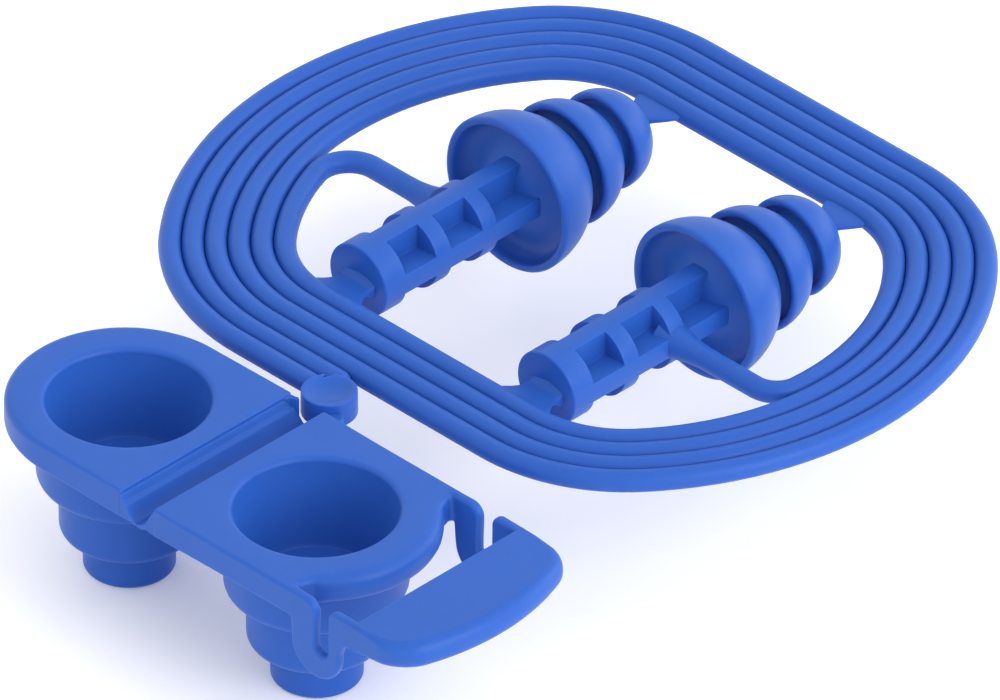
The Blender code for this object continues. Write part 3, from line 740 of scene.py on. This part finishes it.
def flange_set():
    """The plug's turned body in one profile, from the collar inside the rear flange to
    the nose: collar, hollow, rim and dome, three times over."""
    def hollow(rim_r, rim_y, height, wall, stem_r, floor):
        inner = ellipse(rim_r - wall, rim_y, height - wall, 0.0, rim_r - wall, 40)
        inner = [p for p in inner if p[1] < floor and p[0] > stem_r + 0.3]
        return inner

    profile = [(0.0, 8.5), (1.2, 8.55), (2.1, 8.75), (2.8, 9.15), (3.5, 9.65), (4.2, 9.98), (4.8, 10.02), (5.25, 9.75), (5.5, 9.35), (5.62, 9.0)]
    profile += rim(6.25, 8.8, 0.62)[::-1]
    profile += ellipse(6.25, 8.8, 6.2, 6.25, 2.55, 30)
    profile += [(2.58, 14.60), (2.62, 14.80), (2.76, 15.02), (3.05, 15.18), (3.45, 15.24)]
    profile += hollow(4.88, 14.4, 4.3, 0.60, 3.3, 15.22)
    profile += rim(4.88, 14.4, 0.60)[::-1]
    profile += ellipse(4.88, 14.4, 4.3, 4.88, 2.45, 28)
    profile += [(2.42, 18.30), (2.45, 18.60), (2.56, 18.92), (2.72, 19.10), (2.92, 19.16)]
    profile += hollow(3.90, 18.6, 3.55, 0.60, 2.65, 19.16)
    profile += rim(3.90, 18.6, 0.60)[::-1]
    profile += ellipse(3.90, 18.6, 3.55, 3.90, 0.0, 34)
    profile[-1] = (0.0, 22.15)
    clean = []
    for p in profile:
        if not clean or math.hypot(p[0] - clean[-1][0], p[1] - clean[-1][1]) > 0.02:
            clean.append(p)
    return clean


def box_into(bm, x0, x1, y_a, y_b, z0, z1):
    size = Vector((x1 - x0, y_b - y_a, z1 - z0))
    mid = Vector(((x0 + x1) / 2, (y_a + y_b) / 2, (z0 + z1) / 2))
    bmesh.ops.create_cube(
        bm, size=1.0, matrix=Matrix.Translation(P(*mid)) @ Matrix.Diagonal((*(size * MM), 1.0))
    )


def evaluated_mesh(obj, name):
    graph = bpy.context.evaluated_depsgraph_get()
    mesh = bpy.data.meshes.new_from_object(obj.evaluated_get(graph))
    mesh.name = name
    return mesh


def pocket_cutter(plug_x):
    """Twelve wedge-shaped pockets, four round the grip in each of three rows."""
    bm = bmesh.new()
    rows = ((-4.6, -1.4), (0.1, 3.4), (4.85, 12.0))
    near, far = 0.80, 5.0
    for row, (a, b) in enumerate(rows):
        for sx in (-1, 1):
            for sz in (-1, 1):
                xs = sorted((plug_x + sx * near, plug_x + sx * far))
                zs = sorted((sz * near, sz * far))
                box_into(bm, xs[0], xs[1], a, b, zs[0], zs[1])
    mesh = bpy.data.meshes.new("pocket_cutter")
    bm.to_mesh(mesh)
    bm.free()
    cutter = bpy.data.objects.new("pocket_cutter", mesh)
    bpy.context.scene.collection.objects.link(cutter)
    bevel = cutter.modifiers.new("soft", "BEVEL")
    bevel.width = 0.06 * MM
    bevel.segments = 4
    bevel.limit_method = "ANGLE"
    bevel.angle_limit = math.radians(40)
    bpy.context.view_layer.update()
    return cutter


def grip_mesh(name, plug_x):
    profile = [(0.0, -6.28)]
    profile += [(0.20, -6.30), (0.45, -6.42), (0.75, -6.53)]
    profile += rounded([(0.95, -6.56, 0), (GRIP_R, -6.70, 0.16), (GRIP_R, 10.3, 0), (0.0, 10.3, 0)], fine=6)
    bm = bmesh.new()
    spin(bm, profile, 96, True, (plug_x, 0.0, 0.0))
    bmesh.ops.recalc_face_normals(bm, faces=bm.faces)
    mesh = bpy.data.meshes.new(name + "_blank")
    bm.to_mesh(mesh)
    bm.free()
    blank = bpy.data.objects.new(name + "_blank", mesh)
    bpy.context.scene.collection.objects.link(blank)
    cutter = pocket_cutter(plug_x)
    cut = blank.modifiers.new("pockets", "BOOLEAN")
    cut.operation = "DIFFERENCE"
    cut.solver = "EXACT"
    cut.object = cutter
    edge = blank.modifiers.new("edges", "BEVEL")
    edge.width = 0.10 * MM
    edge.segments = 3
    edge.limit_method = "ANGLE"
    edge.angle_limit = math.radians(38)
    edge.use_clamp_overlap = True
    bpy.context.view_layer.update()
    result = evaluated_mesh(blank, name)
    for helper in (blank, cutter):
        bpy.data.objects.remove(helper, do_unlink=True)
    return result


def smooth_object(name, mesh, slot, sharp=45.0):
    mesh.shade_smooth()
    mesh.set_sharp_from_angle(angle=math.radians(sharp))
    mesh.materials.clear()
    mesh.materials.append(MATS[slot])
    obj = bpy.data.objects.new(name, mesh)
    bpy.context.scene.collection.objects.link(obj)
    modifier = obj.modifiers.new("weighted", "WEIGHTED_NORMAL")
    modifier.mode = "FACE_AREA"
    modifier.weight = 60
    modifier.keep_sharp = True
    return obj


def web_tab(name, plug_x, stations, node):
    """A tear-off web along Y.  Each station is (y, half width, half height, centre z)."""
    bm = bmesh.new()
    sides, rings = 48, []
    for y, wide, high, z0 in stations:
        ring = []
        for k in range(sides):
            w = 2 * math.pi * k / sides
            c, n = math.cos(w), math.sin(w)
            ring.append(bm.verts.new(P(
                plug_x + wide * math.copysign(abs(c) ** 0.45, c), y, z0 + high * math.copysign(abs(n) ** 0.45, n),
            )))
        rings.append(ring)
    for low, high in zip(rings, rings[1:]):
        for k in range(sides):
            m = (k + 1) % sides
            bm.faces.new((low[k], low[m], high[m], high[k]))
    bm.faces.new(rings[0])
    bm.faces.new(rings[-1])
    obj = finish_mesh(name, bm, "tab_elastomer")
    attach(obj, "case_base")
    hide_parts(node)


def eased(points, steps=6):
    """Stations with smooth steps between them."""
    out = []
    for a, b in zip(points, points[1:]):
        for i in range(steps):
            t = i / steps
            out.append(tuple(p + (q - p) * t for p, q in zip(a, b)))
    out.append(points[-1])
    smooth = out
    for _ in range(6):
        smooth = [smooth[0]] + [
            (b[0],) + tuple((a[k] + 2 * b[k] + c[k]) / 4 for k in (1, 2, 3))
            for a, b, c in zip(smooth, smooth[1:], smooth[2:])
        ] + [smooth[-1]]
    return smooth


for letter, plug_x in zip("ab", PLUG_X):
    bm = bmesh.new()
    spin(bm, flange_set(), 112, True, (plug_x, 0.0, 0.0))
    body = finish_mesh(f"plug_{letter}_flanges", bm, "plug_elastomer")
    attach(body, f"plug_{letter}")
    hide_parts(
        f"plug_{letter}_core", f"plug_{letter}_rear_flange",
        f"plug_{letter}_middle_flange", f"plug_{letter}_nose_flange",
    )
    grip = smooth_object(f"plug_{letter}_ribbed_grip", grip_mesh(f"plug_{letter}_ribbed_grip", plug_x), "plug_elastomer")
    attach(grip, f"plug_{letter}")
    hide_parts(f"plug_{letter}_grip")

    # The webs that the plug is torn from: one at the nose and one at the grip.
    x = plug_x
    web_tab(f"plug_{letter}_nose_tab", x, eased([
        (21.85, 0.70, 0.55, 0.05), (22.25, 0.72, 0.34, 0.08), (22.7, 0.95, 0.27, 0.10),
        (23.5, 1.65, 0.26, 0.12), (24.2, 2.05, 0.26, 0.10), (24.75, 2.20, 0.28, 0.06),
    ]), f"plug_{letter}_tip_tab")
    web_tab(f"plug_{letter}_tail_tab", x, eased([
        (-6.45, 1.75, 0.95, -0.30), (-6.75, 1.68, 0.60, -0.25), (-7.1, 1.62, 0.36, -0.20), (-7.6, 1.62, 0.25, -0.12),
        (-8.2, 1.95, 0.24, -0.06), (-8.8, 2.45, 0.26, 0.0), (-9.4, 2.75, 0.30, 0.05),
    ]), f"plug_{letter}_grip_tab")

# ============================================================ cord button
bm = bmesh.new()
button = [(0.0, 0.62), (0.5, 0.64), (0.95, 0.71), (1.35, 0.84), (1.65, 0.99)]
button += rounded([(1.72, 1.03, 0), (2.08, 1.06, 0.10), (BUTTON_R, -1.02, 0.25), (0.0, -1.02, 0)], fine=6)
spin(bm, button, 80, False, (BUTTON.x, BUTTON.y, 0.0))
bmesh.ops.recalc_face_normals(bm, faces=bm.faces)
mesh = bpy.data.meshes.new("button_blank")
bm.to_mesh(mesh)
bm.free()
blank = bpy.data.objects.new("button_blank", mesh)
bpy.context.scene.collection.objects.link(blank)
# A small V nick in the back of its edge.
bm = bmesh.new()
nick = [(-0.38, 0.0), (0.38, 0.0), (0.0, -0.85)]
tops = [bm.verts.new(P(BUTTON.x - 1.45 + a, BUTTON.y + 1.62 + b, 1.6)) for a, b in nick]
lows = [bm.verts.new(P(BUTTON.x - 1.45 + a, BUTTON.y + 1.62 + b, 0.35)) for a, b in nick]
bm.faces.new(tops)
bm.faces.new(lows[::-1])
for i in range(3):
    n = (i + 1) % 3
    bm.faces.new((tops[i], lows[i], lows[n], tops[n]))
bmesh.ops.recalc_face_normals(bm, faces=bm.faces)
mesh = bpy.data.meshes.new("nick")
bm.to_mesh(mesh)
bm.free()
nick_obj = bpy.data.objects.new("nick", mesh)
bpy.context.scene.collection.objects.link(nick_obj)
cut = blank.modifiers.new("nick", "BOOLEAN")
cut.operation = "DIFFERENCE"
cut.solver = "EXACT"
cut.object = nick_obj
bpy.context.view_layer.update()
button_piece = smooth_object("cord_button_dished", evaluated_mesh(blank, "cord_button_dished"), "case_elastomer", 40.0)
for helper in (blank, nick_obj):
    bpy.data.objects.remove(helper, do_unlink=True)
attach(button_piece, "case_base")
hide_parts("cord_button")

bm = bmesh.new()
neck = rounded([(54.0, -20.3, 0), (54.55, -19.5, 0.3), (55.35, -19.9, 0.3), (55.75, -21.0, 0.2), (55.85, -21.7, 0), (54.45, -21.7, 0)], closed=True, fine=4)
slab(bm, neck, -0.75, 0.35, 0.12, 0.25, flat_put, fine=4)
neck_piece = finish_mesh("button_stub", bm, "tab_elastomer")
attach(neck_piece, "case_base")
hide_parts("button_neck")

# ============================================================ stage
floor_mat = bpy.data.materials.new("floor")
floor_mat.use_nodes = True
floor_bsdf = floor_mat.node_tree.nodes["Principled BSDF"]
floor_bsdf.inputs["Base Color"].default_value = (0.95, 0.95, 0.95, 1.0)
floor_bsdf.inputs["Emission Color"].default_value = (1.0, 1.0, 1.0, 1.0)
floor_bsdf.inputs["Emission Strength"].default_value = 0.14
floor_bsdf.inputs["Roughness"].default_value = 0.9
floor_bsdf.inputs["Specular IOR Level"].default_value = 0.1
bm = bmesh.new()
bmesh.ops.create_grid(bm, x_segments=1, y_segments=1, size=3.0, matrix=Matrix.Translation((0, 0, -0.00005)))
floor_mesh = bpy.data.meshes.new("floor")
bm.to_mesh(floor_mesh)
bm.free()
floor_mesh.materials.append(floor_mat)
floor = bpy.data.objects.new("floor", floor_mesh)
bpy.context.scene.collection.objects.link(floor)

world = bpy.data.worlds.new("studio")
world.use_nodes = True
bpy.context.scene.world = world
background = world.node_tree.nodes["Background"]
background.inputs["Color"].default_value = (1.0, 1.0, 1.0, 1.0)
background.inputs["Strength"].default_value = 1.10


def area_light(name, direction, distance, size, power):
    data = bpy.data.lights.new(name, "AREA")
    data.shape = "DISK"
    data.size = size
    data.energy = power
    obj = bpy.data.objects.new(name, data)
    d = Vector(direction).normalized()
    obj.location = middle + d * distance
    obj.rotation_euler = (-d).to_track_quat("-Z", "Y").to_euler()
    bpy.context.scene.collection.objects.link(obj)
    return obj


area_light("key", (1.0, 0.05, 0.55), 0.8, 0.6, 3.5)
area_light("fill", (0.2, -1.0, 0.45), 0.9, 0.9, 0.2)
area_light("back", (0.35, 0.95, 0.30), 0.8, 0.5, 1.4)

scene = bpy.context.scene
scene.view_settings.view_transform = "Standard"
scene.view_settings.look = "None"
scene.view_settings.exposure = 0.0
scene.view_settings.gamma = 1.0
